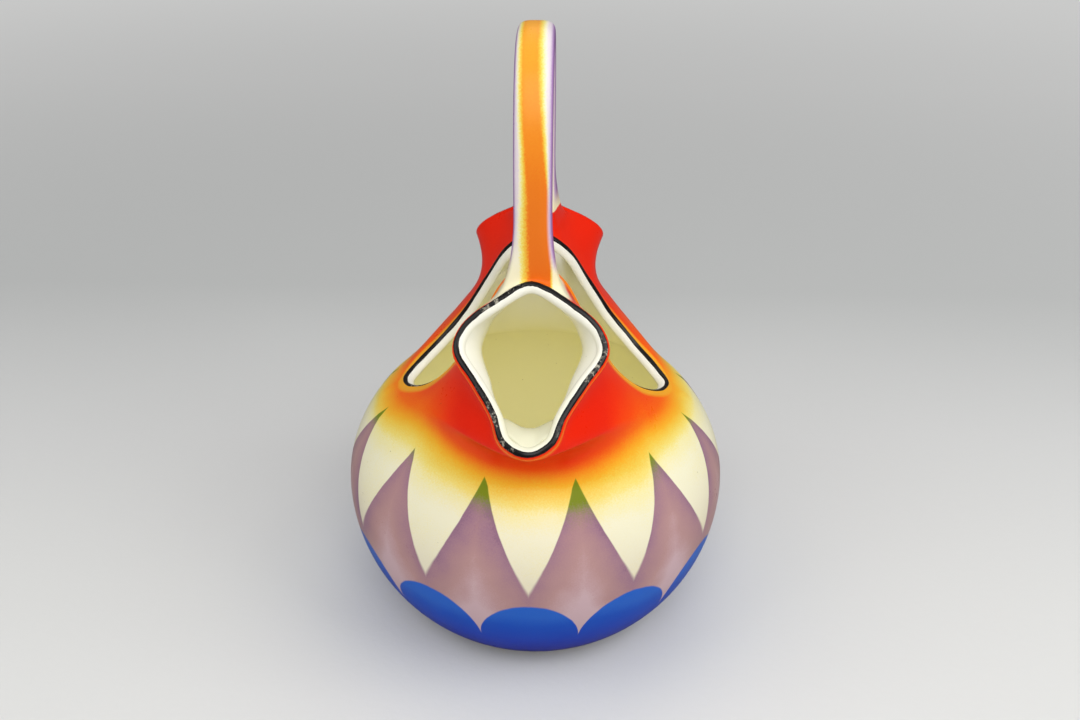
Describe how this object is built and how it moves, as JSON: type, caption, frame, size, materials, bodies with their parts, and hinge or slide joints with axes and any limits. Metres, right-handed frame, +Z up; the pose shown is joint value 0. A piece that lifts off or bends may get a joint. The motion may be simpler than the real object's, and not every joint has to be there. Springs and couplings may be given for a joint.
{
  "type": "two-spouted jug",
  "caption": "Round glazed earthenware jug with flared lozenge spouts set back to back over a saddle-shaped opening, under a tall hoop handle; sprayed sunburst and zigzag decoration.",
  "frame": {"origin": "middle of the foot ring's standing face, on the table", "axes": "+Z up, -Y towards the front spout's pouring tip, +X to the right when the front spout is looked at"},
  "size_m": [0.17, 0.185, 0.263],
  "materials": {
    "bowl_glaze": "satin-gloss glaze, cream with sprayed mauve and blue zigzags",
    "spout_glaze": "satin-gloss glaze, sprayed red fading through orange and yellow, cream inside",
    "handle_glaze": "satin-gloss glaze, orange stripe fading to yellow and cream, lilac sides",
    "black_enamel": "gloss black line, worn along the edge",
    "bare_clay": "unglazed, wiped"
  },
  "bodies": {
    "root": {"bowl": "bowl_glaze", "foot_ring": "bare_clay", "front_spout": "spout_glaze", "rear_spout": "spout_glaze", "handle": "handle_glaze", "front_mouth_line": "black_enamel", "rear_mouth_line": "black_enamel", "opening_line": "black_enamel"}
  },
  "joints": []
}
